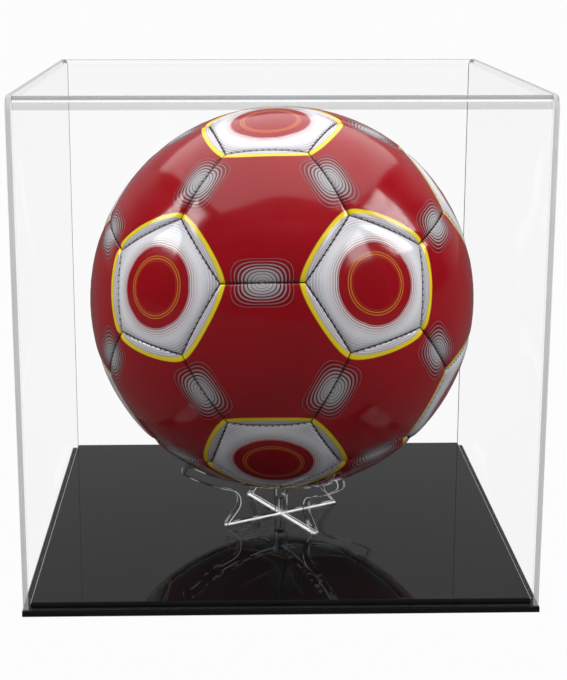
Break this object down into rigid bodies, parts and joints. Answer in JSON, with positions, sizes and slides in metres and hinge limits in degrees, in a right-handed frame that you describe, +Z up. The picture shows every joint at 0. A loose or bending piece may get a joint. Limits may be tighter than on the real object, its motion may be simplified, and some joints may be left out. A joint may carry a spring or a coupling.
{
  "type": "soccer ball display case",
  "caption": "Clear square display case with a lift-off cover, a stepped black base and a crossed-plate stand that holds a stitched football.",
  "frame": {"origin": "middle of the base plate's underside, on the surface that the case stands on", "axes": "+Z up; +Y from the front, which the picture faces, to the back; +X to the right as seen from the front"},
  "size_m": [0.267, 0.267, 0.2663],
  "materials": {
    "clear_acrylic_cover": "clear polished acrylic sheet",
    "clear_acrylic_stand": "clear acrylic sheet with polished cut edges",
    "black_acrylic": "high-gloss black acrylic sheet",
    "red_panel": "glossy coated synthetic leather",
    "white_panel": "glossy coated synthetic leather",
    "latex": "plain latex",
    "valve_rubber": "moulded butyl rubber"
  },
  "bodies": {
    "base": {"base_plate": "black_acrylic", "base_insert": "black_acrylic", "stand_plate_lower": "clear_acrylic_stand", "stand_plate_upper": "clear_acrylic_stand"},
    "cover": {"cover_wrap": "clear_acrylic_cover", "cover_end_left": "clear_acrylic_cover", "cover_end_right": "clear_acrylic_cover"},
    "ball": {"hexagon_panel_01": "red_panel", "hexagon_panel_02": "red_panel", "hexagon_panel_03": "red_panel", "hexagon_panel_04": "red_panel", "hexagon_panel_05": "red_panel", "hexagon_panel_06": "red_panel", "hexagon_panel_07": "red_panel", "hexagon_panel_08": "red_panel", "hexagon_panel_09": "red_panel", "hexagon_panel_10": "red_panel", "hexagon_panel_11": "red_panel", "hexagon_panel_12": "red_panel", "hexagon_panel_13": "red_panel", "hexagon_panel_14": "red_panel", "hexagon_panel_15": "red_panel", "hexagon_panel_16": "red_panel", "hexagon_panel_17": "red_panel", "hexagon_panel_18": "red_panel", "hexagon_panel_19": "red_panel", "hexagon_panel_20": "red_panel", "pentagon_panel_01": "white_panel", "pentagon_panel_02": "white_panel", "pentagon_panel_03": "white_panel", "pentagon_panel_04": "white_panel", "pentagon_panel_05": "white_panel", "pentagon_panel_06": "white_panel", "pentagon_panel_07": "white_panel", "pentagon_panel_08": "white_panel", "pentagon_panel_09": "white_panel", "pentagon_panel_10": "white_panel", "pentagon_panel_11": "white_panel", "pentagon_panel_12": "white_panel", "bladder": "latex", "valve": "valve_rubber"}
  },
  "joints": [
    {"name": "cover_lift", "type": "slide", "parent": "base", "child": "cover", "axis": [0, 0, 1], "range_m": [0, 0.27]},
    {"name": "ball_turn", "type": "hinge", "parent": "base", "child": "ball", "pos_m": [0.004, -0.004, 0.1386], "axis": [0, 0, 1], "continuous": true}
  ]
}
